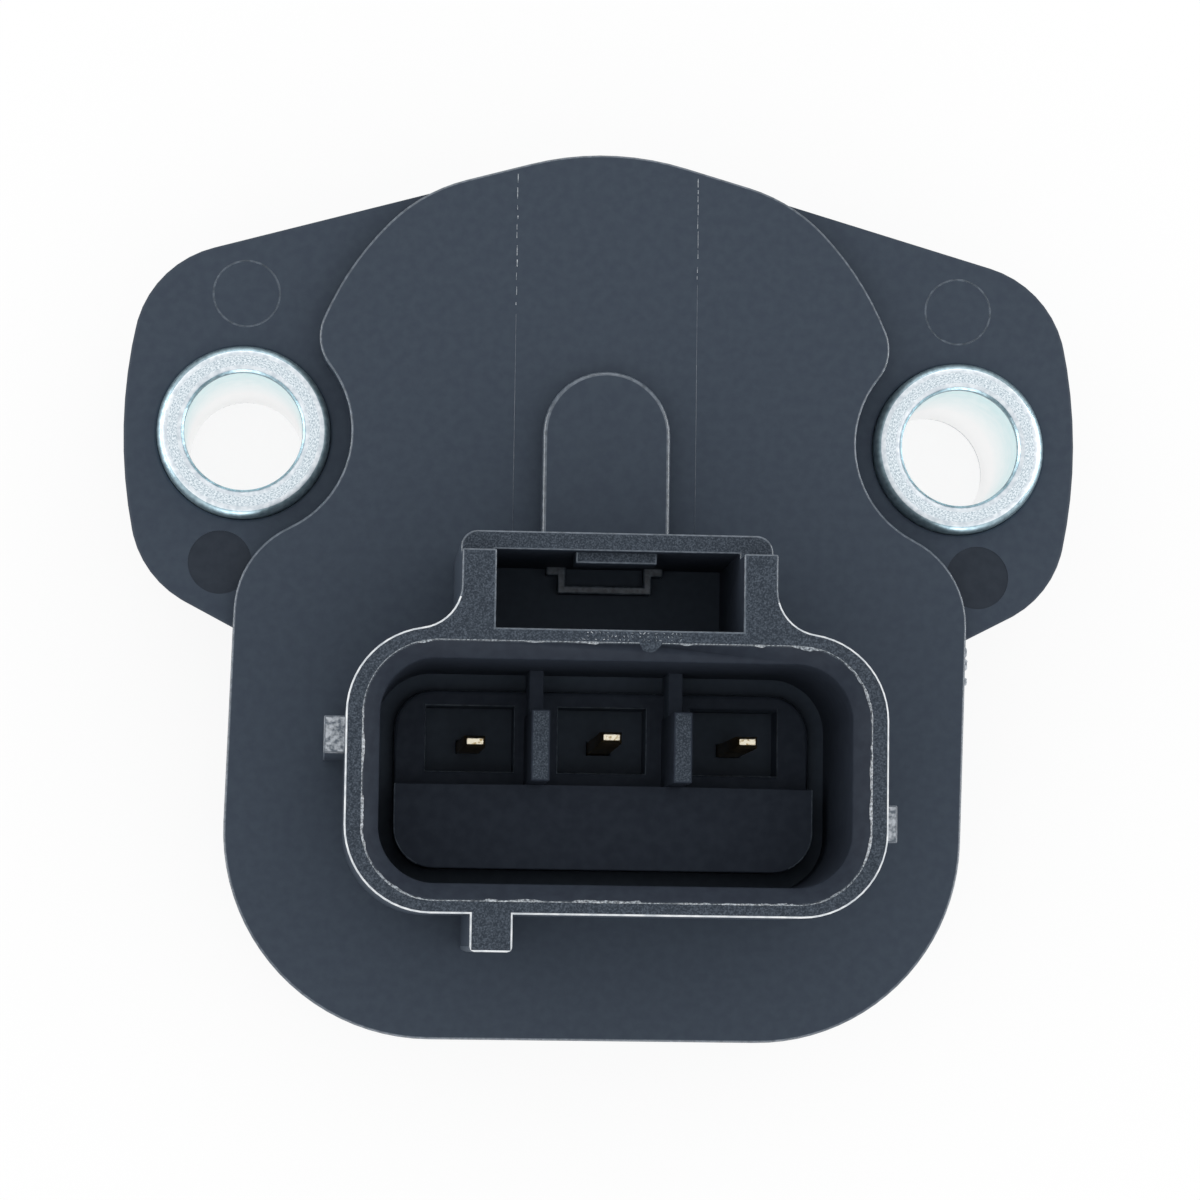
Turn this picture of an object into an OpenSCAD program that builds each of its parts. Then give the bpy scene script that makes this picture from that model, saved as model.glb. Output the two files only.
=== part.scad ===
// Throttle position sensor: a rotary sensor with a spring-returned rotor, two bolt ears and a
// three-way plug socket. The mounting face lies in the XY plane, Z runs along the rotor axis
// towards the plug socket, X runs through both bolt holes, and the socket is on the -Y side.

/* [Bolt ears] */
// Distance between the two bolt holes
bolt_spacing = 38; // [36:0.5:42]
// Outside diameter of each steel bushing
bushing_od = 9.1; // [8.6:0.1:9.6]
// Bore of each steel bushing
bushing_id = 6.2; // [5.2:0.1:6.6]
// How far each bushing stands above the ear
bushing_proud = 1; // [0.2:0.1:1.3]
// Chamfer on the outer edges of a bushing
bushing_chamfer = 0.35; // [0.1:0.05:0.5]
// Thickness of the ears
ear_t = 10.6; // [10:0.1:12]
// Corner of an ear above its hole: height of the corner's centre over the hole
ear_up_y = 4.45; // [3.5:0.05:5]
// How far that corner's centre lies outside the hole's
ear_up_out = 0.25; // [-0.3:0.05:0.5]
// Radius of that upper corner
ear_up_r = 5.65; // [5:0.05:6]
// Corner of an ear below its hole: depth of the corner's centre under the hole
ear_low_y = 4.1; // [3.5:0.05:5]
// How far that corner's centre lies outside the hole's
ear_low_out = 0.35; // [-0.2:0.05:0.6]
// Radius of that lower corner
ear_low_r = 5.5; // [5:0.05:6]
// Radius of the slight bow of the ear's end
ear_bow_r = 27; // [20:1:40]
// Slope of the ear's lower edge in degrees
ear_low_angle = 27.5; // [20:0.5:32]
// How far that lower edge leans in from the ear's top to the mounting face
ear_lean = 0.8; // [0.1:0.05:1]

/* [Body] */
// Wall left between a bushing and the rotor chamber
bushing_wall = 2.45; // [2.3:0.05:2.9]
// Wall of the base round the rotor chamber
chamber_wall = 3.15; // [2.8:0.05:3.5]
// How far the raised body's arc stands outside the base's arc
body_out = 0.95; // [0.5:0.05:1.3]
// Radius of the raised body's corner over the upper edge of an ear
crown_r = 9; // [6:0.5:11]
// Height of the raised body over the ears
body_rise = 1.4; // [1:0.1:2]
// Gap between a bushing and the relief cut into the raised body round it
relief_gap = 1.1; // [0.7:0.05:1.4]
// Radius of the raised body's convex corner above the relief
relief_lip_r = 2.5; // [1.5:0.1:3]
// Radius of the raised body's shoulder below the relief
shoulder_r = 5; // [4:0.1:6]
// How far the lower body reaches out past each bolt hole
lower_out = 0.3; // [-0.2:0.05:0.7]
// How far the lower edge of the body is set over to the left
lower_shift = 0.28; // [0:0.02:0.4]
// Width of the body's shelf below the plug socket
lower_shelf = 6.4; // [5.3:0.1:7.5]
// Radius of the lower body's two bottom corners
lower_corner_r = 10.8; // [9:0.1:12]
// Wall of the bearing hump round the rotor's journal
hump_wall = 1.15; // [0.9:0.05:1.5]
// Height of the bearing hump over the body
hump_h = 1.3; // [1.1:0.1:2]

/* [Plug socket] */
// Height of the socket's wall over the body
rim_h = 11.4; // [10.4:0.1:13]
// Distance from the pins down to the middle of the socket
pin_up = 1.85; // [1.6:0.05:2]
// Outside width of the socket wall
socket_w = 26.9; // [26.4:0.1:27.6]
// Outside height of the socket wall
socket_h = 14.1; // [13.8:0.1:14.6]
// Outside corner radius of the socket wall
socket_corner_r = 4.3; // [3.8:0.1:5]
// Thickness of the socket's upper and lower walls
socket_wall = 1.5; // [1.2:0.05:1.7]
// Thickness of the socket's two side walls
socket_side_wall = 1.7; // [1.4:0.05:1.8]
// Width of the sloping lead-in at the socket's mouth
lead_in = 0.85; // [0.5:0.05:0.95]
// Depth of the sloping lead-in
lead_in_depth = 0.9; // [0.5:0.1:1.5]
// Depth of the seal channel round the contact island, under the body's top
channel_depth = 0.4; // [0.2:0.1:1.2]
// Gap between the contact island and the socket wall
channel_w = 0.9; // [0.7:0.05:1.1]
// Height of the contact island over the body's top
island_rise = 0.5; // [0.2:0.1:1]
// Height of the raised step below the pins, over the island
step_rise = 2; // [1:0.1:3]
// Distance from the socket's middle down to the edge of that step
step_drop = 0.3; // [0.1:0.05:0.5]
// Distance between neighbouring pins
pin_pitch = 6.9; // [6.7:0.05:7]
// Length of the pins over the island
pin_len = 6.5; // [5.5:0.1:7.1]
// Width of the pocket round each pin
pocket_w = 4.6; // [4:0.1:4.8]
// Height of the pocket round each pin
pocket_h = 3.4; // [3.2:0.1:3.8]
// How far the middle of each pocket lies above its pin
pocket_up = 0.3; // [0:0.05:0.5]
// Depth of the pocket round each pin
pocket_depth = 2.5; // [1.5:0.1:3]
// Width of the two ribs between the pins
rib_w = 0.95; // [0.7:0.05:1.1]
// How far each rib stands outside the middle between its two pins
rib_out = 0.15; // [0:0.05:0.3]
// Height of the two ribs over the raised step
rib_h = 4.8; // [3.5:0.1:5.5]
// Length of each rib
rib_len = 3.6; // [3.3:0.1:3.8]
// Height of the low rail that ties each rib to the wall, over the raised step
rail_h = 0.4; // [0.2:0.1:1.5]
// Width of the low rail
rail_w = 0.76; // [0.6:0.02:0.85]
// How far the side keys and the lower key stand out of the socket wall
key_out = 1.05; // [0.8:0.05:1.4]
// Thickness of the side keys
side_key_t = 1.9; // [1.6:0.1:2.2]
// How far the side keys end below the socket's rim
side_key_drop = 3.9; // [2.4:0.1:6.4]
// Distance from the socket's middle up to the left key
left_key_up = 1.85; // [1.4:0.05:2.3]
// Distance from the socket's middle down to the right key
right_key_down = 2.2; // [1.7:0.05:2.7]
// Width of the lower key
low_key_w = 2.1; // [1.8:0.1:2.4]
// How far the lower key stands out of the socket wall
low_key_out = 1.85; // [1.5:0.05:2.2]
// Distance from the rotor's plane of symmetry to the lower key
low_key_x = 6.15; // [5.6:0.05:6.6]

/* [Latch hood] */
// Width of the window in the latch hood
window_w = 12.3; // [12:0.1:12.7]
// Height of the window in the latch hood
window_h = 4.1; // [4.05:0.05:4.3]
// Thickness of the two posts beside the window
post_t = 1.7; // [1.5:0.05:1.9]
// How far the tall part of each post ends short of the bar
post_short = 0.2; // [0.1:0.05:0.4]
// Thickness of the bar across the window
bar_t = 0.95; // [0.85:0.05:1.1]
// Corner radius of the bar
bar_corner_r = 0.85; // [0.5:0.05:0.85]
// How far the bar's top lies below the socket's rim
bar_drop = 2.1; // [1.5:0.1:2.6]
// Radius of the concave sweep from the posts into the socket wall
sweep_r = 2.2; // [1.8:0.1:2.6]
// Width of the latch nib on the bar
nib_w = 4.1; // [3.8:0.1:4.1]
// How far the latch nib stands into the window
nib_out = 0.55; // [0.4:0.05:0.8]
// How far the nib's top lies below the bar's top
nib_drop = 0.7; // [0.4:0.1:1]
// Length of the latch nib along the plug's travel
nib_len = 2.2; // [1.5:0.1:3]
// Width of the U-shaped ridge on the floor under the nib
ridge_w = 0.4; // [0.3:0.05:0.5]
// Height of that ridge over the body's top
ridge_h = 0.9; // [0.5:0.1:1.2]
// Length of the two feet at the ridge's ends
ridge_foot = 0.8; // [0.5:0.05:1]

/* [Contacts] */
// Width of a terminal
blade_w = 1.2; // [1:0.05:1.4]
// Thickness of a terminal
blade_t = 0.64; // [0.5:0.02:0.7]
// Length of the sloping tip of each pin
pin_tip = 0.6; // [0.3:0.05:0.8]
// How far each terminal reaches out of the dam into the contact bay
leg_reach = 2.1; // [1.9:0.05:2.2]
// Thickness of the sheet that the contact clips are bent from
clip_t = 0.2; // [0.15:0.01:0.25]
// Width of a contact clip
clip_w = 1.6; // [1.3:0.1:1.9]
// Length of a contact clip
clip_len = 1.7; // [1.4:0.1:1.8]
// Height of a contact clip between a terminal and the resistor plate
clip_h = 1.06; // [0.8:0.02:1.3]
// Thickness of the resistor plate
plate_t = 0.8; // [0.6:0.05:0.9]
// Gap between the resistor plate's edge and the chamber wall
plate_gap = 0.25; // [0.1:0.05:0.4]
// Thickness of the potting over the terminals
potting_t = 2.4; // [1.5:0.1:3]

/* [Chamber and cover] */
// Thickness of the housing over the rotor chamber
roof_t = 2.6; // [2.4:0.1:2.9]
// Room in the contact bay beside the outer terminals
bay_side = 2.1; // [1.9:0.1:2.5]
// How far the contact bay reaches out past the rotor chamber
bay_out = 1.4; // [1.2:0.1:1.6]
// Corner radius of the bay's and the well's far end
bay_corner_r = 1.2; // [0.8:0.1:2]
// Thickness of the dam between the contact bay and the potting well
dam_t = 1; // [0.8:0.05:1.2]
// Height of the potting well along Y
well_h = 4.8; // [4:0.1:5.2]
// Distance from the dam to the pins
pin_in = 1.9; // [1.6:0.05:2.2]
// Width of the ledge that the cover's gasket seats on
ledge_w = 1.2; // [1:0.05:1.3]
// Thickness of the rear cover
cover_t = 1.9; // [1.7:0.1:2.1]
// How far the cover lies inside the mounting face
cover_sink = 0.3; // [0.1:0.1:0.4]
// Height of the bearing boss inside the cover
boss_h = 0.7; // [0.5:0.1:0.8]
// Thickness of the gasket under the cover
gasket_t = 0.4; // [0.3:0.05:0.5]
// Width of the gasket
gasket_w = 0.9; // [0.7:0.05:1]

/* [Rotor] */
// Radius of the drive socket for the throttle shaft
drive_r = 3.9; // [3.6:0.05:4.1]
// Wall of the rotor's hub round the drive socket
hub_wall = 1.7; // [1.4:0.05:1.9]
// How far the rotor's hub ends inside the cover's outer face
hub_sink = 0.2; // [0.1:0.05:0.4]
// Thickness left over the bottom of the drive socket
drive_floor = 0.8; // [0.6:0.1:1.2]
// Depth of the wider mouth of the drive socket, before its two tangs
drive_mouth = 2; // [1.5:0.1:2.5]
// How much wider the mouth is than the socket, on its radius
mouth_step = 0.2; // [0.1:0.05:0.4]
// Distance between the flats of the two tangs
drive_flats = 5; // [4.6:0.1:5.6]
// How far the collar that runs on the cover's boss stands out of the hub
collar_out = 0.8; // [0.6:0.05:1]
// Gap between the rotor's disc and the chamber wall
disc_gap = 1.4; // [1.3:0.05:1.8]
// Thickness of the rotor's disc
disc_t = 1.6; // [1.2:0.1:1.7]
// Room for the wiper between the disc and the resistor plate
wiper_room = 2; // [1.8:0.05:2.2]
// Step from the rotor's journal out to its neck
neck_step = 1.2; // [1:0.05:1.4]
// Gap between the neck and the resistor plate
neck_gap = 0.8; // [0.5:0.05:1]
// Radius of the journal in the bearing hump
journal_r = 2.2; // [2:0.05:2.3]
// Length of the journal
journal_len = 3.2; // [2.8:0.1:3.3]
// Thickness of the thrust washer on the journal's shoulder
washer_t = 0.4; // [0.3:0.05:0.45]
// Width of the shaft seal on its radius
seal_w = 1.7; // [1.4:0.05:2]
// Thickness of the shaft seal
seal_t = 1.1; // [0.8:0.1:1.2]
// Electrical and mechanical travel of the rotor in degrees
travel = 100; // [80:1:110]
// Angle of the stop tab at rest, in degrees
tab_angle = 40; // [30:1:50]
// Width of the stop tab in degrees
tab_width = 14; // [10:1:20]
// Reach of the stop tab past the disc
tab_reach = 1; // [0.8:0.05:1.05]
// Width of the two stops on the chamber wall in degrees
stop_width = 8; // [6:1:12]

/* [Return spring and wiper] */
// Wire of the return spring
wire_d = 0.7; // [0.5:0.05:0.75]
// Distance from the rotor's collar to the middle of the spring's wire
coil_out = 1.6; // [1.4:0.05:1.8]
// Turns of the return spring
coil_turns = 2.25; // [1.25:0.25:2.5]
// Length of the spring's two straight ends
spring_leg = 4.2; // [3:0.1:4.6]
// Thickness of the wiper's sheet
wiper_t = 0.25; // [0.2:0.01:0.3]
// Distance from the disc's edge in to the outer track
track_edge = 1.8; // [1.4:0.1:2.1]
// Distance between the two tracks
track_pitch = 2.6; // [2.3:0.1:3]
// Width of each wiper finger
finger_w = 0.5; // [0.35:0.05:0.6]
// Gap between the two fingers of a pair
finger_gap = 0.2; // [0.1:0.05:0.3]
// Reach of the fingers along the disc
finger_run = 5.2; // [4.5:0.1:5.8]
// Width of the wiper's base strip on the disc in degrees
strip_angle = 70; // [55:1:85]

/* [Hidden] */
$fn = 96;

seat = 0.02;          // clearance of pieces that are pressed, laid or bonded in place
run = 0.06;           // running clearance of the rotor in its bearings and seal
nip = 0.05;           // gap between pieces that touch lightly as they move
cut = 1;              // how far a cutting shape runs past the face that it opens

bond = 0.3;           // how far a shape added to a wall runs into it
play = 0.1;           // axial play of the rotor and of the spring's coil
peg_r = 0.6;          // radius of the two pegs that the spring bears on
peg_len = 1.2;        // length of those pegs

hole_x = bolt_spacing / 2;
bushing_r = bushing_od / 2;
relief_r = bushing_r + relief_gap;
chamber_r = hole_x - bushing_r - bushing_wall;
base_arc_r = chamber_r + chamber_wall;
body_arc_r = base_arc_r + body_out;
bushing_len = ear_t + bushing_proud;
body_z = ear_t + body_rise;
hump_z = body_z + hump_h;
hump_w = 2 * (journal_r + hump_wall);

// Places along Y, from the rotor axis down to the lower edge
bay_y = chamber_r + bay_out;
leg_end_y = bay_y - leg_reach;
well_top = -bay_y - dam_t;
well_low = well_top - well_h;
pin_y = bay_y + dam_t + pin_in;
socket_y = pin_y + pin_up;
lower_y = socket_y + socket_h / 2 + lower_shelf;
lower_w = bolt_spacing + 2 * lower_out;
bay_x = pin_pitch + bay_side;

// Ear corners, and the centre of the bow that touches both of them
ear_up = [hole_x + ear_up_out, ear_up_y];
ear_low = [hole_x + ear_low_out, -ear_low_y];
bow = circles_meet(ear_up, ear_bow_r - ear_up_r, ear_low, ear_bow_r - ear_low_r);
bow_up = bow + ear_bow_r * unit(ear_up - bow);
bow_low = bow + ear_bow_r * unit(ear_low - bow);
// Upper edge: the common tangent of the base arc and the upper corner
edge_dir = acos((base_arc_r - ear_up_r) / norm(ear_up)) + atan2(ear_up.y, ear_up.x);
edge_body = base_arc_r * dir(edge_dir);
edge_ear = ear_up + ear_up_r * dir(edge_dir);
// Lower edge: a straight line off the lower corner that runs in under the body
low_ear = ear_low + ear_low_r * dir(ear_low_angle - 90);
low_body = low_ear - 2 * bushing_r * dir(ear_low_angle);

// Raised body's corner there: the circle that touches the body's arc and the ear's upper edge
crown = (base_arc_r - crown_r) * dir(edge_dir)
    + sqrt(pow(body_arc_r - crown_r, 2) - pow(base_arc_r - crown_r, 2)) * dir(edge_dir - 90);

// Raised body: the lip above the relief and the shoulder below it
hole = [hole_x, 0];
lip = circles_meet([0, 0], body_arc_r - relief_lip_r, hole, relief_r + relief_lip_r);
lip_out = body_arc_r * unit(lip);
lip_in = hole + relief_r * unit(lip - hole);
shoulder_x = lower_w / 2 - shoulder_r;
shoulder = [shoulder_x, -sqrt(pow(relief_r + shoulder_r, 2) - pow(hole_x - shoulder_x, 2))];
lower_corner = [lower_w / 2 - lower_corner_r, -lower_y + lower_corner_r];

// Heights of the socket and of what stands in it
rim_z = body_z + rim_h;
channel_z = body_z - channel_depth;
island_z = body_z + island_rise;
step_z = island_z + step_rise;
rib_z = step_z + rib_h;
rail_z = step_z + rail_h;
pin_z = island_z + pin_len;
side_key_z = rim_z - side_key_drop;
bar_z = rim_z - bar_drop;

// Socket, latch hood and the sweep between them
socket_top = -socket_y + socket_h / 2;
socket_low = -socket_y - socket_h / 2;
mouth_w = socket_w - 2 * socket_side_wall;
mouth_h = socket_h - 2 * socket_wall;
mouth_corner_r = socket_corner_r - socket_wall;
mouth_top = socket_top - socket_wall;
post_x = window_w / 2 + post_t;
window_top = socket_top + window_h;
hood_top = window_top + bar_t;
post_top = window_top - post_short;
nib_z = bar_z - nib_drop;
ridge_x = nib_w / 2 + ridge_w / 2;
ridge_y = window_top - nib_out - 2 * ridge_w;
corner_c = [socket_w / 2 - socket_corner_r, socket_top - socket_corner_r];
sweep_x = post_x + sweep_r;
sweep_c = [sweep_x,
           corner_c.y + sqrt(pow(socket_corner_r + sweep_r, 2) - pow(sweep_x - corner_c.x, 2))];
island_w = mouth_w - 2 * channel_w;
island_h = mouth_h - 2 * channel_w;
island_corner_r = mouth_corner_r - channel_w + 0.2;
step_y = -socket_y - step_drop;
rib_x = pin_pitch / 2 + rib_out;
pins = [for (i = [-1:1]) [i * pin_pitch, -pin_y]];

// Chamber stack, from the mounting face inwards
cover_z = cover_sink + cover_t;
ledge_z = cover_z + gasket_t;
boss_z = cover_z + boss_h;
chamber_z = body_z - roof_t;
plate_z = chamber_z - plate_t;
shelf_z = plate_z - clip_h;
leg_low_z = shelf_z - blade_t;
disc_z = plate_z - wiper_room;
disc_low_z = disc_z - disc_t;
shoulder_z = chamber_z - washer_t - 2 * nip;

// Rotor, from its hub outwards, and what runs on it
hub_r = drive_r + hub_wall;
hub_z = cover_sink + hub_sink;
mouth_r = drive_r + mouth_step;
mouth_z = hub_z + drive_mouth;
drive_z = disc_z - drive_floor;
collar_r = hub_r + collar_out;
collar_z = boss_z + play;
seal_r = hub_r + seal_w;
neck_r = journal_r + neck_step;
disc_r = chamber_r - disc_gap;
track_out_r = disc_r - track_edge;
track_in_r = track_out_r - track_pitch;
coil_r = collar_r + coil_out;
coil_low_z = cover_z + play + wire_d / 2;
coil_pitch = (disc_low_z - cover_z - wire_d - 3.5 * play) / coil_turns;

// The two stops on the chamber wall: where they begin, and the angle of each
stop_in_r = disc_r + 0.35;
stop_gap = 0.6;
stop_angles = [for (end = [-1, 1])
    tab_angle + travel / 2 + end * (travel / 2 + tab_width / 2 + stop_gap + stop_width / 2)];

function dir(a) = [cos(a), sin(a)];
function unit(v) = v / norm(v);
// Where two circles meet: of the two points, the one above on the left of the line c1 to c2
// or, for the bow of the ears, the one that lies towards the rotor axis
function circles_meet(c1, r1, c2, r2) =
    let (d = norm(c2 - c1),
         a = (r1 * r1 - r2 * r2 + d * d) / (2 * d),
         h = sqrt(r1 * r1 - a * a),
         u = unit(c2 - c1),
         side = c1 == [0, 0] ? 1 : -1)
    c1 + a * u + side * h * [-u.y, u.x];

// Angle of the side on which a line touches two circles: on their right (1) or left (-1)
function touch_angle(c1, r1, c2, r2, side) =
    let (d = c2 - c1) atan2(d.y, d.x) + side * acos((r1 - r2) / norm(d));

// A shape and its mirror image about the YZ plane
module both_sides() {
    children();
    mirror([1, 0, 0]) children();
}

// Rectangle with round corners, centred on the origin
module rounded_rect(w, h, r) {
    square([w - 2 * r, h], center = true);
    square([w, h - 2 * r], center = true);
    for (x = [-1, 1], y = [-1, 1])
        translate([x * (w / 2 - r), y * (h / 2 - r)]) circle(r);
}

// Slice of a ring between two radii, centred on an angle
module ring_slice(r_in, r_out, angle, width) {
    far = 2 * r_out;
    difference() {
        intersection() {
            circle(r_out);
            polygon([[0, 0], far * dir(angle - width / 2), far * dir(angle + width / 2)]);
        }
        circle(r_in);
    }
}

// Lower body, with its shoulders and bottom corners
module lower_outline() {
    for (side = [-1, 1]) {
        top = [side * shoulder.x, shoulder.y];
        low = [side * lower_corner.x - lower_shift, lower_corner.y];
        wall = dir(touch_angle(top, shoulder_r, low, lower_corner_r, side));
        translate(top) circle(shoulder_r);
        translate(low) circle(lower_corner_r);
        polygon([[0, top.y], top, top + shoulder_r * wall, low + lower_corner_r * wall,
                 low, [low.x, -lower_y], [0, -lower_y]]);
    }
}

// Right ear seen from the plug side, its lower edge raised by an amount
module ear_outline(raise = 0) {
    up = [0, raise];
    translate(ear_up) circle(ear_up_r);
    translate(ear_low + up) circle(ear_low_r);
    intersection() {
        translate(bow) circle(ear_bow_r, $fn = 120);
        polygon([ear_up, bow_up + 2 * unit(bow_up - bow),
                 bow_low + 2 * unit(bow_low - bow), ear_low]);
    }
    polygon([[0, 0], edge_body, edge_ear, ear_up, ear_low + up, low_ear + up, low_body + up]);
}

// Ears and base, seen from the plug side
module base_outline() {
    circle(base_arc_r);
    lower_outline();
    both_sides() ear_outline();
}

// Ears and base: each ear's lower side leans in towards the mounting face
module base() {
    linear_extrude(ear_t) {
        circle(base_arc_r);
        lower_outline();
    }
    both_sides() hull() {
        linear_extrude(0.01) ear_outline(ear_lean, $fn = 48);
        translate([0, 0, ear_t - 0.01]) linear_extrude(0.01) ear_outline(0, $fn = 48);
    }
}

// Raised body: its arc, the reliefs round the bushings and the lower body
module body_outline() {
    difference() {
        union() {
            intersection() {
                circle(body_arc_r);
                base_outline();
            }
            both_sides() polygon([[0, 0], hole, shoulder, [0, shoulder.y]]);
        }
        both_sides() {
            translate(hole) circle(relief_r);
            difference() {
                polygon([lip, 1.2 * lip_out, hole, lip_in]);
                translate(lip) circle(relief_lip_r);
            }
            difference() {
                polygon([crown, crown + 1.3 * crown_r * dir(edge_dir),
                         crown + 1.3 * crown_r * unit(crown)]);
                translate(crown) circle(crown_r);
            }
        }
    }
    lower_outline();
}

// Socket wall and latch hood as one outline
module shroud_outline() {
    translate([0, -socket_y]) rounded_rect(socket_w, socket_h, socket_corner_r);
    both_sides() {
        translate([0, -socket_y]) square([post_x, post_top + socket_y]);
        difference() {
            polygon([[0, sweep_c.y], sweep_c, corner_c, [0, corner_c.y]]);
            translate(sweep_c) circle(sweep_r);
        }
    }
}

// Bar across the top of the latch hood
module bar_outline() {
    r = bar_corner_r;
    both_sides() {
        translate([0, window_top]) square([post_x - r, bar_t]);
        translate([0, post_top - cut]) square([post_x, hood_top - r - post_top + cut]);
        translate([post_x - r, hood_top - r]) circle(r);
    }
}

// Straight pocket below the rotor axis with two round far corners, grown by an amount
module bay_outline(far_y, grow = 0) {
    r = bay_corner_r + grow;
    x = bay_x + grow;
    y = -far_y - grow;
    translate([-x, y + r]) square([2 * x, -y - r]);
    translate([-x + r, y]) square([2 * (x - r), r]);
    for (side = [-1, 1]) translate([side * (x - r), y + r]) circle(r);
}

// Chamber, contact bay and potting well as seen from behind, grown by an amount
module chamber_outline(grow = 0) {
    circle(chamber_r + grow);
    bay_outline(-well_low, grow);
}

// Potting well, grown by an amount
module well_outline(grow = 0) {
    intersection() {
        bay_outline(-well_low, grow);
        translate([-chamber_r, well_low - cut]) square([2 * chamber_r, well_h + cut + grow]);
    }
}

module bearing_hump() {
    translate([0, 0, body_z - cut]) linear_extrude(hump_z - body_z + cut) {
        circle(hump_w / 2);
        translate([-hump_w / 2, hood_top]) square([hump_w, -hood_top]);
    }
}

module socket_keys() {
    side_key_h = side_key_z - channel_z;
    translate([-socket_w / 2 - key_out, -socket_y + left_key_up - side_key_t / 2, channel_z])
        cube([key_out + cut, side_key_t, side_key_h]);
    translate([socket_w / 2 - cut, -socket_y - right_key_down - side_key_t / 2, channel_z])
        cube([key_out + cut, side_key_t, side_key_h]);
    translate([-low_key_x - low_key_w / 2, socket_low - low_key_out, channel_z])
        cube([low_key_w, low_key_out + cut, rim_z - channel_z]);
}

// Sloping lead-in at the mouth of the socket
module mouth_lead_in() {
    rim_r = mouth_corner_r + lead_in;
    translate([0, -socket_y, 0]) hull() {
        translate([0, 0, rim_z - lead_in_depth]) linear_extrude(0.01)
            rounded_rect(mouth_w, mouth_h, mouth_corner_r, $fn = 32);
        translate([0, 0, rim_z]) linear_extrude(cut)
            rounded_rect(mouth_w + 2 * lead_in, mouth_h + 2 * lead_in, rim_r, $fn = 32);
    }
}

module island_outline() {
    translate([0, -socket_y]) rounded_rect(island_w, island_h, island_corner_r);
}

// Pockets in the island round the three pins
module pin_pockets() {
    for (p = pins)
        translate([p.x - pocket_w / 2, p.y + pocket_up - pocket_h / 2, island_z - pocket_depth])
            cube([pocket_w, pocket_h, pocket_depth + cut]);
}

// What stands on the socket's floor: the island, its raised step, two ribs and their rails
module contact_island() {
    base = channel_z - cut;
    difference() {
        translate([0, 0, base]) linear_extrude(island_z - base) island_outline();
        pin_pockets();
    }
    translate([0, 0, base]) linear_extrude(step_z - base) intersection() {
        island_outline();
        translate([-island_w, step_y - island_h]) square([2 * island_w, island_h]);
    }
    for (side = [-1, 1]) {
        translate([side * rib_x - rib_w / 2, step_y, base])
            cube([rib_w, rib_len, rib_z - base]);
        translate([side * rib_x - rail_w / 2, step_y, base])
            cube([rail_w, mouth_top + cut / 2 - step_y, rail_z - base]);
    }
}

// U-shaped ridge on the floor of the latch window, round the place under the nib
module latch_ridge() {
    base = body_z - cut;
    h = cut + ridge_h;
    translate([-ridge_x - ridge_w / 2, ridge_y, base]) cube([2 * ridge_x + ridge_w, ridge_w, h]);
    both_sides() {
        translate([ridge_x - ridge_w / 2, ridge_y, base])
            cube([ridge_w, window_top + bar_t / 2 - ridge_y, h]);
        translate([ridge_x, window_top - ridge_w, base])
            cube([ridge_foot, ridge_w + bar_t / 2, h]);
    }
}

// Slots and grooves for one terminal, with its seating clearance
module terminal_way(p) {
    w = blade_w + 2 * seat;
    translate([p.x - w / 2, p.y - blade_t / 2 - seat, leg_low_z - seat])
        cube([w, blade_t + 2 * seat, island_z]);
    translate([p.x - w / 2, p.y - blade_t / 2 - seat, leg_low_z - seat])
        cube([w, -bay_y - p.y + blade_t + cut, blade_t + seat]);
}

module housing() {
    color("#3b414b") difference() {
        union() {
            base();
            linear_extrude(body_z) body_outline();
            bearing_hump();
            difference() {
                union() {
                    translate([0, 0, channel_z - cut]) linear_extrude(rim_z - channel_z + cut)
                        shroud_outline();
                    translate([0, 0, channel_z - cut]) linear_extrude(bar_z - channel_z + cut)
                        bar_outline();
                    socket_keys();
                }
                translate([0, -socket_y, channel_z]) linear_extrude(rim_z)
                    rounded_rect(mouth_w, mouth_h, mouth_corner_r);
                mouth_lead_in();
                translate([-window_w / 2, socket_top, body_z]) cube([window_w, window_h, rim_z]);
            }
            contact_island();
            latch_ridge();
            translate([-nib_w / 2, window_top - nib_out, nib_z - nib_len])
                cube([nib_w, nib_out + bar_t / 2, nib_len]);
        }
        // Channel round the island, cut down from the body's top
        difference() {
            translate([0, -socket_y, channel_z]) linear_extrude(body_z - channel_z + cut)
                rounded_rect(mouth_w, mouth_h, mouth_corner_r);
            contact_island();
        }
        pin_pockets();
        both_sides() translate([hole_x, 0, -cut]) cylinder(h = bushing_len + cut, r = bushing_r + seat);
        // Rear: seat of the cover, rotor chamber, contact bay and potting well
        translate([0, 0, -cut]) linear_extrude(ledge_z + cut) chamber_outline(ledge_w);
        cylinder(h = chamber_z, r = chamber_r);
        linear_extrude(chamber_z) bay_outline(bay_y);
        linear_extrude(shelf_z) well_outline();
        cylinder(h = shoulder_z + journal_len + 2 * play, r = journal_r + run);
        for (p = pins) terminal_way(p);
    }
    // Stops of the rotor on the chamber wall
    color("#3b414b") for (a = stop_angles)
        translate([0, 0, disc_low_z - 2 * play])
            linear_extrude(chamber_z - disc_low_z + 2 * play)
                ring_slice(stop_in_r, chamber_r + bond, a, stop_width);
}

module bushing(side) {
    r = bushing_id / 2;
    c = bushing_chamfer;
    h = bushing_len;
    color("#b9c3cc") translate([side * hole_x, 0, 0]) rotate_extrude()
        polygon([[r + c / 2, 0], [bushing_r - c, 0], [bushing_r, c], [bushing_r, h - c],
                 [bushing_r - c, h], [r + c / 2, h], [r, h - c / 2], [r, c / 2]]);
}

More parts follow.
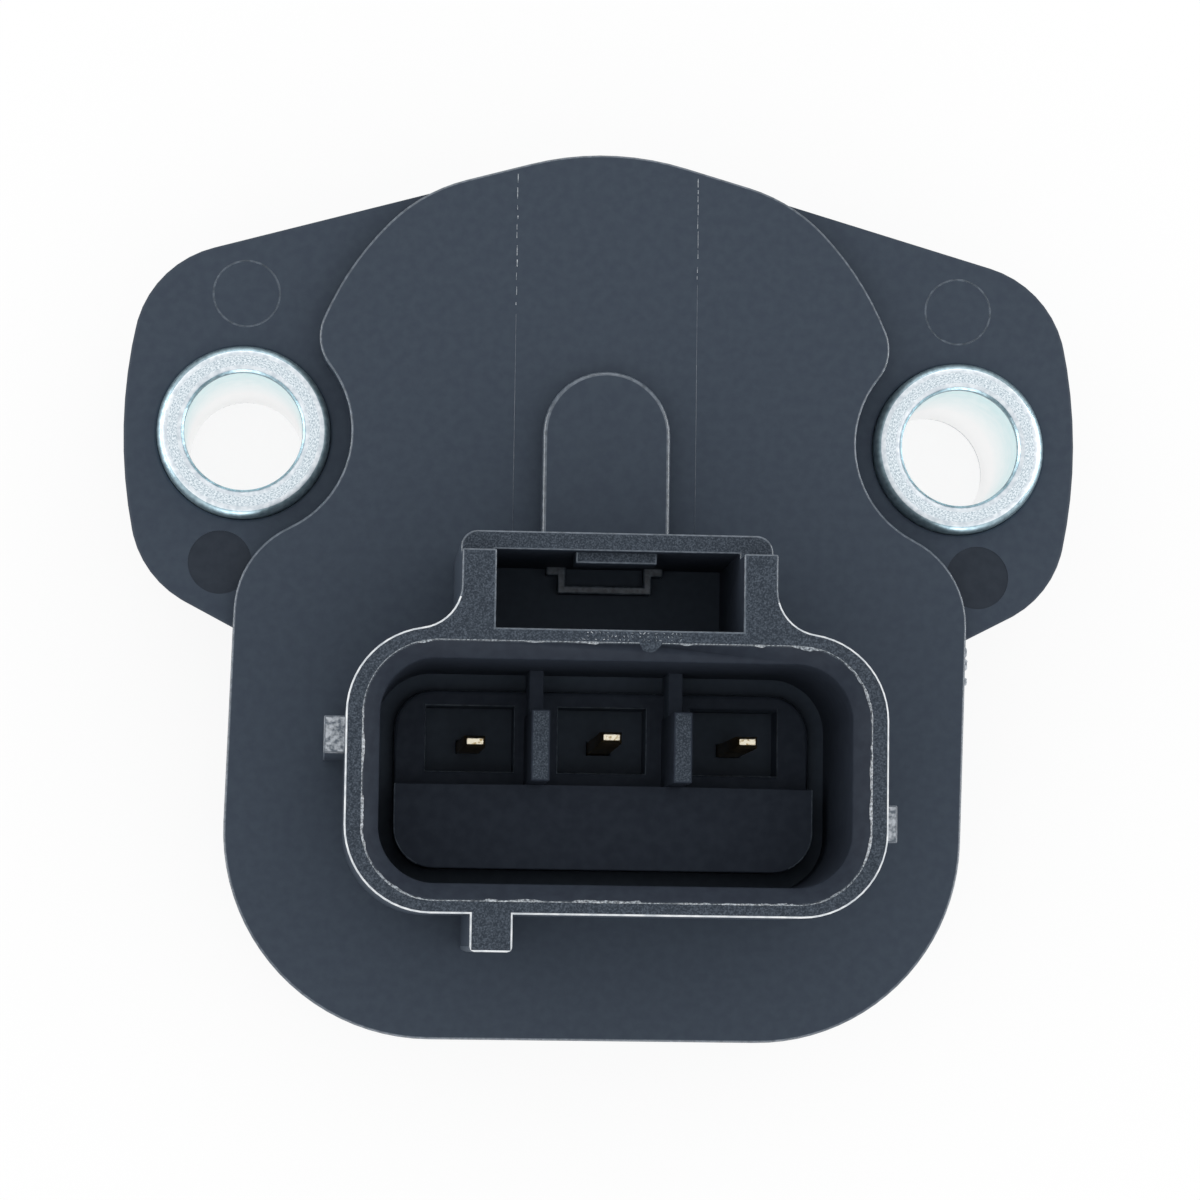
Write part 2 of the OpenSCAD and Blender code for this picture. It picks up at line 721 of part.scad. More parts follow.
// Bent terminal: the pin in the socket and a leg that lies on the shelf
module terminal(i) {
    p = pins[i];
    color("#c9a24a") translate([p.x, p.y, 0]) {
        translate([-blade_w / 2, -blade_t / 2, leg_low_z])
            cube([blade_w, blade_t, pin_z - pin_tip - leg_low_z]);
        hull() {
            translate([-blade_w / 2, -blade_t / 2, pin_z - pin_tip - 0.01])
                cube([blade_w, blade_t, 0.01]);
            translate([-blade_w * 0.375, -blade_t / 4, pin_z - 0.01])
                cube([blade_w * 0.75, blade_t / 2, 0.01]);
        }
        translate([-blade_w / 2, -blade_t / 2, leg_low_z])
            cube([blade_w, blade_t / 2 + pin_y - leg_end_y, blade_t]);
    }
}

// Bent strip that presses between a terminal's leg and the resistor plate
module clip(i) {
    y = -leg_end_y - clip_len;
    color("#c8b27a") translate([pins[i].x - clip_w / 2, y, shelf_z]) {
        cube([clip_w, clip_len, clip_t]);
        cube([clip_w, clip_t, plate_z - shelf_z]);
        translate([0, 0, plate_z - shelf_z - clip_t]) cube([clip_w, clip_len, clip_t]);
    }
}

// Sealing resin over the roots of the terminals
module potting() {
    color("#20242a") difference() {
        translate([0, 0, shelf_z - potting_t]) linear_extrude(potting_t - seat)
            well_outline(-seat);
        for (p = pins) terminal_way(p);
    }
}

module resistor_plate() {
    r = chamber_r - plate_gap;
    color("#d8d3c4") translate([0, 0, plate_z]) linear_extrude(plate_t - seat) difference() {
        union() {
            difference() {
                circle(r);
                for (a = stop_angles)
                    ring_slice(stop_in_r - plate_gap, r + cut, a, stop_width + 3);
            }
            bay_outline(bay_y, -plate_gap);
        }
        circle(neck_r + neck_gap);
    }
}

// Contact strip on the disc, with two pairs of sprung fingers on the two tracks
module wiper() {
    rise = wiper_room - nip;
    slope = atan2(rise - 2 * wiper_t, finger_run);
    tip_x = finger_run / 2;
    root_x = tip_x - finger_run * cos(slope);
    strip_end_x = root_x + 3 * wiper_t;
    color("#d9b860") {
        translate([0, 0, disc_z]) linear_extrude(wiper_t) intersection() {
            ring_slice(track_in_r - 2 * finger_w, track_out_r + 2 * finger_w, 90, strip_angle);
            translate([strip_end_x - 2 * track_out_r, 0]) square(2 * track_out_r);
        }
        for (r = [track_in_r, track_out_r], k = [-0.5, 0.5]) {
            // The tips meet their track beside the rotor's Y axis
            y = sqrt(r * r - tip_x * tip_x) + k * (finger_w + finger_gap);
            translate([root_x, y, disc_z + wiper_t / 2]) rotate([0, -slope, 0])
                translate([0, -finger_w / 2, 0]) cube([finger_run, finger_w, wiper_t]);
            translate([tip_x - wiper_t / 2, y + finger_w / 2, plate_z - nip - wiper_t])
                rotate([90, 0, 0]) cylinder(h = finger_w, r = wiper_t, $fn = 24);
        }
    }
}

module rotor() {
    color("#7a7f86") {
        rotate_extrude() polygon([
            [mouth_r, hub_z], [hub_r, hub_z], [hub_r, collar_z], [collar_r, collar_z],
            [collar_r, disc_low_z], [disc_r, disc_low_z], [disc_r, disc_z], [neck_r, disc_z],
            [neck_r, shoulder_z], [journal_r, shoulder_z], [journal_r, shoulder_z + journal_len],
            [0, shoulder_z + journal_len], [0, drive_z], [drive_r, drive_z],
            [drive_r, mouth_z], [mouth_r, mouth_z]]);
        // Tangs that grip the flats of the throttle shaft
        translate([0, 0, mouth_z]) linear_extrude(drive_z - mouth_z + bond) difference() {
            circle(drive_r + bond);
            square([2 * hub_r, drive_flats], center = true);
        }
        // Stop tab on the disc's edge
        translate([0, 0, disc_low_z]) linear_extrude(disc_t)
            ring_slice(disc_r - bond, disc_r + tab_reach, tab_angle, tab_width);
        // Peg under the disc that the upper end of the spring bears on
        translate(spring_peg(1) - [0, 0, peg_len]) cylinder(h = peg_len + bond, r = peg_r, $fn = 32);
    }
}

module thrust_washer() {
    color("#e4e0d4") translate([0, 0, shoulder_z + nip]) difference() {
        cylinder(h = washer_t, r = neck_r - play);
        translate([0, 0, -cut]) cylinder(h = washer_t + 2 * cut, r = journal_r + run);
    }
}

// Centre line of the spring: a straight end, the coil and a second straight end
coil_start = 200;
function coil_at(t) = let (a = coil_start + 360 * t)
    [coil_r * cos(a), coil_r * sin(a), coil_low_z + coil_pitch * t];
function spring_line() =
    let (n = round(coil_turns * 24), first = coil_start, last = coil_start + 360 * coil_turns,
         a = coil_at(0), b = coil_at(coil_turns))
    concat([a + spring_leg * [sin(first), -cos(first), 0]],
           [for (i = [0:n]) coil_at(coil_turns * i / n)],
           [b + spring_leg * [-sin(last), cos(last), 0]]);
// Pegs on the outer side of the spring's two ends, where they hold it wound
function spring_peg(end) =
    let (line = spring_line(), last = len(line) - 1,
         tip = end > 0 ? line[last] : line[0],
         root = end > 0 ? line[last - 1] : line[1],
         along = unit(tip - root),
         out = [along.y, -along.x, 0] * (end > 0 ? 1 : -1))
    [tip.x, tip.y, end > 0 ? disc_low_z : cover_z] - 1.3 * peg_r * [along.x, along.y, 0]
    + (wire_d / 2 + peg_r + play) * [out.x, out.y, 0];

module return_spring() {
    line = spring_line();
    n = len(line);
    k = 8;
    rings = [for (i = [0:n - 1])
        let (t = unit(line[min(i + 1, n - 1)] - line[max(i - 1, 0)]),
             side = unit(cross(t, [0, 0, 1])), up = cross(side, t))
        for (j = [0:k - 1]) line[i] + wire_d / 2 * (cos(360 * j / k) * side + sin(360 * j / k) * up)];
    walls = [for (i = [0:n - 2], j = [0:k - 1])
        [i * k + j, i * k + (j + 1) % k, (i + 1) * k + (j + 1) % k, (i + 1) * k + j]];
    caps = [[for (j = [k - 1:-1:0]) j], [for (j = [0:k - 1]) (n - 1) * k + j]];
    color("#9aa1a8") polyhedron(rings, concat(walls, caps));
}

module shaft_seal() {
    color("#15171a") translate([0, 0, cover_sink + nip]) difference() {
        cylinder(h = seal_t, r = seal_r - seat);
        translate([0, 0, -cut]) cylinder(h = seal_t + 2 * cut, r = hub_r + run);
    }
}

module cover() {
    color("#2f343c") {
        difference() {
            union() {
                translate([0, 0, cover_sink]) linear_extrude(cover_t) chamber_outline(ledge_w - nip);
                cylinder(h = boss_z, r = collar_r + 0.5);
            }
            translate([0, 0, -cut]) cylinder(h = boss_z + 2 * cut, r = hub_r + run);
            translate([0, 0, -cut]) cylinder(h = cut + cover_sink + seal_t + 2 * nip, r = seal_r);
        }
        translate(spring_peg(-1) - [0, 0, bond]) cylinder(h = peg_len + bond, r = peg_r, $fn = 32);
    }
}

module cover_gasket() {
    color("#1b1d20") translate([0, 0, cover_z]) linear_extrude(gasket_t) difference() {
        chamber_outline(ledge_w - nip);
        chamber_outline(ledge_w - nip - gasket_w);
    }
}

housing();
bushing(-1);  // bushing_left
bushing(1);  // bushing_right
terminal(0);  // terminal_left
terminal(1);  // terminal_middle
terminal(2);  // terminal_right
clip(0);  // clip_left
clip(1);  // clip_middle
clip(2);  // clip_right
potting();
resistor_plate();
wiper();
rotor();
thrust_washer();
return_spring();
shaft_seal();
cover();
cover_gasket();
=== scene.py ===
# Rotary throttle sensor, lying on its mounting face: a moulded housing with two steel-bushed
# ears and a keyed three-way plug socket, and inside it a sprung rotor that the throttle shaft turns.
import math
import random

import bmesh
import bpy
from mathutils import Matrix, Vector


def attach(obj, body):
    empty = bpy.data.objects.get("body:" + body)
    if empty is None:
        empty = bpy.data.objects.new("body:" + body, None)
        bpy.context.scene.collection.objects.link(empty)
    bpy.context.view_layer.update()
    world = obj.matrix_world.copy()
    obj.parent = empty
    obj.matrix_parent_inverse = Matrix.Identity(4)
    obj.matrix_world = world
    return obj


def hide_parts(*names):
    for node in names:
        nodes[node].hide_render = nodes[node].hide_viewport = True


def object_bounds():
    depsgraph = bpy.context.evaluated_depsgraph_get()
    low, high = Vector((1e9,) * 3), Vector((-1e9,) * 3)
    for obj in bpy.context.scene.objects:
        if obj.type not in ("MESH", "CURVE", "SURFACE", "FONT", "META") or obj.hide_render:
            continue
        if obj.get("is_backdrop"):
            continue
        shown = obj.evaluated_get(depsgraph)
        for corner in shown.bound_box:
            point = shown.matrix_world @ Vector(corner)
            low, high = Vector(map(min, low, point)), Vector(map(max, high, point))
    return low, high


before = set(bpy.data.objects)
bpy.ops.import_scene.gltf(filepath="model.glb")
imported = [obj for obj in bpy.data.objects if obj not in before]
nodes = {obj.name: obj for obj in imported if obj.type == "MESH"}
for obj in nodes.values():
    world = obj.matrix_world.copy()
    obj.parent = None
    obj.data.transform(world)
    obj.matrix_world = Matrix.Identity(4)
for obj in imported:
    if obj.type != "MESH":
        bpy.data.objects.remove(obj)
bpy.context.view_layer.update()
MM = 0.001

# Housing
# The housing is one moulding of glass-filled nylon: dark blue-grey, matt, with a fine grain.
# Its copy is merged and every outer moulded edge gets its own small radius, because the light along
# those radii is what draws the outline of the raised body, the hump and the socket's rim; the radii
# are also painted paler than the skin, a painted highlight.
EAR_TOP, BODY_TOP, HUMP_TOP, RIM_TOP = 10.6, 12.0, 13.3, 23.4  # heights of level faces, mm
BAR_TOP, NIB_TOP, RIB_TOP, SIDE_KEY_TOP, STEP_TOP = 21.3, 20.6, 19.3, 19.5, 14.5
ISLAND_TOP, LATCH_RIDGE_TOP = BODY_TOP + 0.5, BODY_TOP + 0.9
NEAR = 0.02  # heights closer than this are one level, mm
MOUTH_W, MOUTH_H, MOUTH_R, SOCKET_Y = 25.2, 12.8, 3.65, -18.15  # the socket's mouth
WINDOW_X, WINDOW_LOW, WINDOW_HIGH = 6.4, 6.7, 11.4  # half width; ends, from the socket's middle
BOLT_X, GATE_X, GATE_R = 19.0, 1.49, 0.5  # bolt holes; the gate's stub on the rim
EDGE = 0.3  # largest moulded radius, mm; the others are shares of it
LEVEL_SHARES = ((HUMP_TOP, 0.7), (BODY_TOP, 0.4), (EAR_TOP, 0.5), (0, 0.5), (ISLAND_TOP, 0.7))
SHARP = 30  # edges bent by more than this many degrees get a radius
SMOOTH_PAST = 8  # and those bent by up to this many more are still shaded smooth
# The housing's finishes, in slot order.
SKIN, RADIUS_HIGHLIGHT, END_FACE, EJECTOR, FLASH_AND_HIGHLIGHT, RIM_HIGHLIGHT, SOCKET_SHADE, BURR = range(8)


def linear(code):
    """Linear colour of an sRGB hex code."""
    parts = [int(code[i:i + 2], 16) / 255 for i in (1, 3, 5)]
    return [c / 12.92 if c <= 0.04045 else ((c + 0.055) / 1.055) ** 2.4 for c in parts] + [1]


def add(tree, kind, settings=(), inputs=()):
    """A new shader node with its settings and its values or links."""
    made = tree.nodes.new("ShaderNode" + kind)
    for name, value in dict(settings).items():
        setattr(made, name, value)
    for name, value in dict(inputs).items():
        if isinstance(value, bpy.types.NodeSocket):
            tree.links.new(value, made.inputs[name])
        else:
            made.inputs[name].default_value = value
    return made


def grained(name, grain_mm, colours, span=(0.35, 0.65), roughness=0.5, metallic=0.0, level=0.5,
            bump=0.3, bump_mm=0.01):
    """A material whose colour and fine relief follow a grain of a real size."""
    made = bpy.data.materials.new(name)
    made.use_nodes = True
    tree = made.node_tree
    tree.nodes.clear()
    shader = add(tree, "BsdfPrincipled")
    add(tree, "OutputMaterial", inputs={"Surface": shader.outputs[0]})
    place = add(tree, "TexCoord").outputs["Object"]
    grain = add(tree, "TexNoise", inputs={"Vector": place, "Scale": 1 / (grain_mm * MM), "Detail": 3.0})
    tone = add(tree, "ValToRGB", inputs={"Fac": grain.outputs["Fac"]})
    for end, at, code in zip(tone.color_ramp.elements, span, colours):
        end.position, end.color = at, linear(code)
    relief = add(tree, "Bump", inputs={"Strength": bump, "Distance": bump_mm * MM,
                                       "Height": grain.outputs["Fac"]})
    tree.links.new(tone.outputs["Color"], shader.inputs["Base Color"])
    tree.links.new(relief.outputs["Normal"], shader.inputs["Normal"])
    shader.inputs["Roughness"].default_value = roughness
    shader.inputs["Metallic"].default_value = metallic
    shader.inputs["Specular IOR Level"].default_value = level
    return made


def only(piece):
    """Makes a piece the one selected and active object."""
    bpy.ops.object.select_all(action="DESELECT")
    piece.select_set(True)
    bpy.context.view_layer.objects.active = piece


def merged_copy(node, name, levels=()):
    """A copy of a CAD node with its doubled corners merged and its flat faces made whole; corners
    within 0.015 mm of one of the levels are set on it first."""
    piece = bpy.data.objects.new(name, nodes[node].data.copy())
    bpy.context.collection.objects.link(piece)
    piece.data.materials.clear()
    for corner in piece.data.vertices:
        for level in levels:
            if abs(corner.co.z / MM - level) < 0.015:
                corner.co.z = level * MM
    only(piece)
    bpy.ops.object.mode_set(mode="EDIT")
    bpy.ops.mesh.select_all(action="SELECT")
    bpy.ops.mesh.remove_doubles(threshold=0.002 * MM)
    bpy.ops.mesh.dissolve_limited(angle_limit=math.radians(0.6))
    bpy.ops.object.mode_set(mode="OBJECT")
    return piece


def round_edges(piece, width, share=lambda a, b: 1.0, sharp=SHARP, slot=-1):
    """Rounds the sharp outer edges of a piece; share gives the part of the width that an edge
    takes. Hollow edges stay sharp, because rounding them would pull the flat faces out of true."""
    mesh = bmesh.new()
    mesh.from_mesh(piece.data)
    weight = mesh.edges.layers.float.new("bevel_weight_edge")
    for edge in mesh.edges:
        if edge.is_manifold and edge.is_convex and edge.calc_face_angle() > math.radians(sharp):
            a, b = (v.co / MM for v in edge.verts)
            edge[weight] = share(a, b)
    mesh.to_mesh(piece.data)
    mesh.free()
    only(piece)
    bevel = piece.modifiers.new("radii", "BEVEL")
    bevel.limit_method = "WEIGHT"
    bevel.width = width * MM
    bevel.segments = 3
    bevel.use_clamp_overlap = False
    bevel.material = slot
    bpy.ops.object.modifier_apply(modifier="radii")
    bpy.ops.object.shade_smooth_by_angle(angle=math.radians(sharp + SMOOTH_PAST))


def combine(piece, other, operation, slot):
    """Cuts the other shape out of a piece or welds it on; its faces take one of the finishes."""
    other.data.materials.clear()
    for material in piece.data.materials:
        other.data.materials.append(material)
    for face in other.data.polygons:
        face.material_index = slot
        face.use_smooth = False
    only(piece)
    boolean = piece.modifiers.new("combine", "BOOLEAN")
    boolean.object = other
    boolean.operation = operation
    boolean.solver = "MANIFOLD"
    bpy.ops.object.modifier_apply(modifier="combine")
    bpy.data.objects.remove(other)


def skin(name, strips):
    """Closed shapes skinned over strips of rings, in mm; a strip is its rings and if it closes."""
    points, faces = [], []
    for rings, closed in strips:
        start, size = len(points), len(rings[0])
        points += [p * MM for ring in rings for p in ring]
        for i in range(len(rings) if closed else len(rings) - 1):
            a, b = start + i * size, start + (i + 1) % len(rings) * size
            faces += [(a + j, a + (j + 1) % size, b + (j + 1) % size, b + j) for j in range(size)]
        if not closed:
            end = start + (len(rings) - 1) * size
            faces += [range(start + size - 1, start - 1, -1), range(end, end + size)]
    data = bpy.data.meshes.new(name)
    data.from_pydata(points, [], [tuple(f) for f in faces])
    mesh = bmesh.new()
    mesh.from_mesh(data)
    bmesh.ops.recalc_face_normals(mesh, faces=mesh.faces)
    mesh.to_mesh(data)
    mesh.free()
    made = bpy.data.objects.new(name, data)
    bpy.context.collection.objects.link(made)
    return made


def stands_for(piece, node, body):
    """Shows a piece in place of a CAD node, on that node's body."""
    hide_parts(node)
    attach(piece, body)


def housing_edge(a, b):
    """Share of the largest radius for the edge from a to b, in mm."""
    if abs(a.z - b.z) < 0.01:
        for height, share in LEVEL_SHARES:
            if abs(a.z - height) < 0.01:
                return share
        if a.z > SIDE_KEY_TOP - 0.3:
            return 0.3
    lower_key = abs(a.z - b.z) > 5 and a.y < -26.5
    return 0.9 if lower_key else 0.25


def housing_finish(face):
    """The finish of one of the housing's faces, from its place, its slope and its finish so far."""
    finish, z = face.material_index, face.center.z / MM
    across, along = abs(face.center.x / MM), face.center.y / MM - SOCKET_Y
    inward = (across - MOUTH_W / 2 + MOUTH_R, abs(along) - MOUTH_H / 2 + MOUTH_R)
    beyond = math.hypot(*(max(v, 0) for v in inward)) + min(max(inward), 0) - MOUTH_R
    inside = beyond < 0.15 and z > BODY_TOP - 0.45 and abs(z - BODY_TOP) > NEAR
    # The zone of the rim's outer radius that is painted near-white as a highlight.
    rim_highlight_zone = (along < 4.0 or along < 8.5 and across > 7.0) and not inside
    if face.normal.z > 0.99 and finish == SKIN:
        if min(abs(z - end) for end in (RIM_TOP, BAR_TOP, NIB_TOP, RIB_TOP)) < NEAR:
            finish = END_FACE
        # The side keys' tops take the pale flash finish, a painted highlight.
        elif abs(z - SIDE_KEY_TOP) < NEAR:
            finish = FLASH_AND_HIGHLIGHT
        # The latch ridge's top takes the paler radius finish, a painted highlight.
        elif abs(z - LATCH_RIDGE_TOP) < NEAR and face.center.y / MM > -12:
            finish = RADIUS_HIGHLIGHT
    # Round the socket's mouth the rim's radius takes the end face's finish; round its outside it is
    # painted near-white, a painted highlight.
    if finish == RADIUS_HIGHLIGHT and z > RIM_TOP - EDGE and (inside or rim_highlight_zone):
        finish = END_FACE if inside else RIM_HIGHLIGHT
    window = (across < WINDOW_X and WINDOW_LOW < along < WINDOW_HIGH
              and BODY_TOP < z < BAR_TOP - 0.05 and face.normal.z < 0.5)
    in_channel = z < STEP_TOP - 0.2 and (z < BODY_TOP or face.normal.z < 0.5)
    # The ends of the step's upper edge keep the paler radius finish, a painted highlight.
    step_corner = finish == RADIUS_HIGHLIGHT and abs(z - STEP_TOP) < 0.12 and across > 9.6
    shaded_inside = inside and z < RIM_TOP - 0.05 or window
    # The socket's inside and the hood's window are painted darker, painted shade, except in the channel
    # and at the step's corners.
    if finish in (SKIN, RADIUS_HIGHLIGHT) and shaded_inside and not in_channel and not step_corner:
        finish = SOCKET_SHADE
    if finish == RADIUS_HIGHLIGHT and z < EAR_TOP + NEAR:
        finish = SKIN
    return finish


# One plastic, eight finishes: the matt moulded skin; the glossier radii, painted paler as a highlight;
# the coarse end faces where the mould halves met, with paler specks painted as the glass fibres'
# glints; smooth ejector marks; pale thin flash, painted paler still as a highlight; the rim's outer
# edge, painted near-white as a highlight; the socket's inside, painted darker as shade and without
# a grain; and the burrs along the rim, with pale patches painted as highlights.
housing = merged_copy("housing", "housing_shell", (0, EAR_TOP, RIM_TOP - 0.9, RIM_TOP))
for made in (
        grained("glass_filled_nylon_moulded_skin", 0.5, ("#3e4754", "#424c58"), roughness=0.55,
                level=0.1, bump=0.2),
        grained("glass_filled_nylon_radius_painted_highlight", 0.3, ("#4b5560", "#6a7480"), roughness=0.3, bump=0.15),
        grained("glass_filled_nylon_end_face", 0.08, ("#2e3640", "#5f6975"), (0.42, 0.8),
                roughness=0.45, level=0.12, bump=0.45, bump_mm=0.03),
        grained("glass_filled_nylon_ejector_mark", 0.6, ("#2c333d", "#313842"), roughness=0.4,
                level=0.12, bump=0.1),
        grained("nylon_flash_and_painted_highlight", 0.22, ("#6b7580", "#d3d9e0"), (0.36, 0.62),
                roughness=0.35, level=0.3, bump=0.5),
        grained("glass_filled_nylon_painted_rim_highlight", 0.5, ("#c9d0d7", "#f3f6f9"), roughness=0.35),
        grained("glass_filled_nylon_painted_socket_shade", 0.6, ("#323843", "#373e49"), roughness=0.5,
                level=0.03, bump=0.05),
        grained("nylon_burr_ragged_with_painted_highlight", 0.12, ("#363f49", "#b3bcc5"), (0.38, 0.66), roughness=0.35,
                bump=0.6, bump_mm=0.03)):
    housing.data.materials.append(made)
# The radii take the paler radius finish, a painted highlight along the edges.
round_edges(housing, EDGE, housing_edge, slot=RADIUS_HIGHLIGHT)
for corner in housing.data.vertices:  # a rounded corner may not dip under the mounting face
    corner.co.z = max(corner.co.z, 0)
for face in housing.data.polygons:
    face.material_index = housing_finish(face)

# Marks that the mould leaves on the ears: a round insert's fine outline above each bolt hole,
# painted paler as a highlight, and a smooth ejector mark below it, a little deeper than the skin around
# it.
for side in (-1, 1):
    bpy.ops.object.select_all(action="DESELECT")
    bpy.ops.mesh.primitive_torus_add(
        major_segments=96, minor_segments=8, major_radius=1.75 * MM, minor_radius=0.06 * MM,
        location=(side * BOLT_X * MM, 7.45 * MM, (EAR_TOP + 0.015) * MM))
    combine(housing, bpy.context.object, "DIFFERENCE", RADIUS_HIGHLIGHT)
    bpy.ops.object.select_all(action="DESELECT")
    bpy.ops.mesh.primitive_cylinder_add(
        vertices=96, radius=1.67 * MM, depth=0.3 * MM,
        location=(side * 20.1 * MM, -6.86 * MM, (EAR_TOP + 0.13) * MM))
    combine(housing, bpy.context.object, "DIFFERENCE", EJECTOR)

# Two witness lines of a split core run down the body's top: a low ridge, and over its upper
# part thin broken flash that catches the light as dashes; both are painted pale, a painted highlight.
dice = random.Random(11)
ridges, dashes = [], []


def ridge(x, y0, y1, half, height):
    """Low three-sided ridge along Y on the body's top."""
    return [[Vector((x - half, y, BODY_TOP - 0.05)), Vector((x + half, y, BODY_TOP - 0.05)),
             Vector((x, y, BODY_TOP + height))] for y in (y0, y1)], False


for x, clear in ((-4.8, 6.6), (4.8, 8.4)):
    ridges.append(ridge(x, clear - 0.1, -5.9, 0.06, 0.012))
    y = 14.0
    while y > clear:
        length = dice.uniform(0.15, 0.9)
        dashes.append(ridge(x + dice.uniform(-0.02, 0.02), y, max(y - length, clear),
                            dice.uniform(0.03, 0.06), dice.uniform(0.02, 0.045)))
        y -= length + dice.uniform(0.05, 0.45)
combine(housing, skin("witness_ridges", ridges), "UNION", RADIUS_HIGHLIGHT)
combine(housing, skin("witness_dashes", dashes), "UNION", FLASH_AND_HIGHLIGHT)

# Thin flash squeezed out round the inner edge of the socket's rim: a fine uneven bead, with
# ragged burrs along the top edge and the half-round stub of the gate; the bead and burrs carry pale
# patches painted as highlights. A few flakes of the same flash stand on the body's right-hand edge,
# painted pale as a highlight.
BURRS = ((-9.6, 0.35, 0.16), (-4.2, 0.5, 0.08), (3.3, 0.3, 0.1), (9.3, 0.75, 0.22))  # x, half, reach
FLAKES = ((-11.2, -10.7, 0.07), (-11.9, -11.3, 0.1), (-12.7, -12.3, 0.06))  # y from and to, reach
path = []
for i, (sx, sy, turn) in enumerate(((1, 1, 0), (-1, 1, 90), (-1, -1, 180), (1, -1, 270))):
    centre = Vector((sx * (MOUTH_W / 2 - MOUTH_R), SOCKET_Y + sy * (MOUTH_H / 2 - MOUTH_R)))
    for k in range(33):
        angle = math.radians(turn + 90 * k / 32)
        out = Vector((math.cos(angle), math.sin(angle)))
        path.append((centre + MOUTH_R * out, out))
    run = (MOUTH_W if i % 2 == 0 else MOUTH_H) - 2 * MOUTH_R
    along = Vector((-out.y, out.x))
    steps = round(run / 0.14)
    path += [(path[-1][0] + along * run * k / steps, out) for k in range(1, steps)]
rings, wave, dash = [], 0.5, 1
for spot, out in path:
    wave = min(1, max(0, wave + dice.uniform(-0.45, 0.45)))
    dash = 1 - dash if dice.random() < 0.06 else dash
    reach, height = 0.015 + (0.02 + 0.08 * wave) * dash, 0.01 + 0.04 * dash * dice.random()
    if out.y > 0.9:
        reach += max([0] + [r * (1 - ((spot.x - x) / w) ** 2) * dice.uniform(0.6, 1)
                            for x, w, r in BURRS if abs(spot.x - x) < w])
        if abs(spot.x - GATE_X) < GATE_R:
            reach = 0.03 + 0.42 * math.sqrt(1 - ((spot.x - GATE_X) / GATE_R) ** 2)
    rings.append([(spot + out * 0.07).to_3d() + Vector((0, 0, RIM_TOP - 0.03)),
                  (spot - out * 0.3 * reach).to_3d() + Vector((0, 0, RIM_TOP + height)),
                  (spot - out * reach).to_3d() + Vector((0, 0, RIM_TOP - 0.02)),
                  (spot + out * 0.08).to_3d() + Vector((0, 0, RIM_TOP - 0.16))])
combine(housing, skin("rim_flash", [(rings, True)]), "UNION", BURR)
for face in housing.data.polygons:
    by_gate = abs(face.center.x / MM - GATE_X) < 0.55 and abs(face.center.y / MM + 11.9) < 0.6
    if face.material_index == BURR and by_gate:
        face.material_index = END_FACE
flakes = []
for low, high, most in FLAKES:
    rings = []
    for k in range(7):
        y, reach = low + (high - low) * k / 6, most * dice.uniform(0.5, 1) * (0 < k < 6)
        rings.append([Vector((19.15, y, 11.6)), Vector((19.33 + reach, y, 11.66)),
                      Vector((19.15, y, 11.72))])
    flakes.append((rings, False))
combine(housing, skin("edge_flakes", flakes), "UNION", FLASH_AND_HIGHLIGHT)

# Beside the gate's stub the rim is rough where the gate was broken off: short raised scraps,
# painted pale as a highlight.
scraps = []
for column in range(26):
    for row in range(3):
        if dice.random() < 0.6:
            spot = Vector((-2.0 + 0.2 * column, -11.6 + 0.17 * row, RIM_TOP))
            turn = dice.uniform(0, math.pi)
            run = Vector((math.cos(turn), math.sin(turn), 0))
            half = run * dice.uniform(0.03, 0.08)
            wide = Vector((-run.y, run.x, 0)) * dice.uniform(0.015, 0.035)
            peak, foot = Vector((0, 0, dice.uniform(0.012, 0.035))), Vector((0, 0, -0.02))
            scraps.append(([[spot + end - wide + foot, spot + end + wide + foot, spot + end + peak]
                            for end in (-half, half)], False))
combine(housing, skin("gate_scraps", scraps), "UNION", FLASH_AND_HIGHLIGHT)

# The cuts and welds lose the marks of the sharp edges, so the shading is set once more at the
# end; level faces stay flat beside the thin flash that rises from them.
bpy.ops.object.shade_smooth_by_angle(angle=math.radians(SHARP + SMOOTH_PAST))
for face in housing.data.polygons:
    if abs(face.normal.z) > 0.999 or face.material_index in (FLASH_AND_HIGHLIGHT, BURR):
        face.use_smooth = False
stands_for(housing, "housing", "body")

# Bushings
# Compression limiters turned from steel tube and zinc plated, pressed into the ears: pale rings
# with the lathe's fine circular marks, an inner lip and lower walls painted darker as shade, and a
# smooth bore that the floor lights, painted whiter towards the floor as a reflection.
TURNED, OUTSIDE, SHADED_LIP, BORE = range(4)  # a bushing's finishes, in slot order
zinc = [grained("zinc_plated_steel_turned_face", 0.055, ("#a3b5c0", "#f2faff"), (0.34, 0.62),
                roughness=0.38, metallic=1.0, bump=0.6),
        grained("zinc_plated_steel_outside", 0.3, ("#cdd7df", "#eef4f9"), roughness=0.4, metallic=0.6),
        # The lip's darker colour is painted shade.
        grained("zinc_plated_steel_lip_painted_shade", 0.3, ("#7f959f", "#9db3bc"), roughness=0.4, metallic=0.8),
        grained("zinc_plated_steel_bore", 0.6, ("#d6f3f6", "#e2f8fa"), roughness=0.3, metallic=1.0)]


def node_of(material, kind):
    """The first node of one type in a material."""
    return [n for n in material.node_tree.nodes if n.type == kind][0]


def tint(material, share, code):
    """Mixes a second colour into a material's own, by the share that other nodes work out."""
    tree = material.node_tree
    own = node_of(material, "VALTORGB").outputs["Color"]
    mixed = add(tree, "Mix", {"data_type": "RGBA"}, {0: share, 6: own, 7: linear(code)})
    tree.links.new(mixed.outputs[2], node_of(material, "BSDF_PRINCIPLED").inputs["Base Color"])


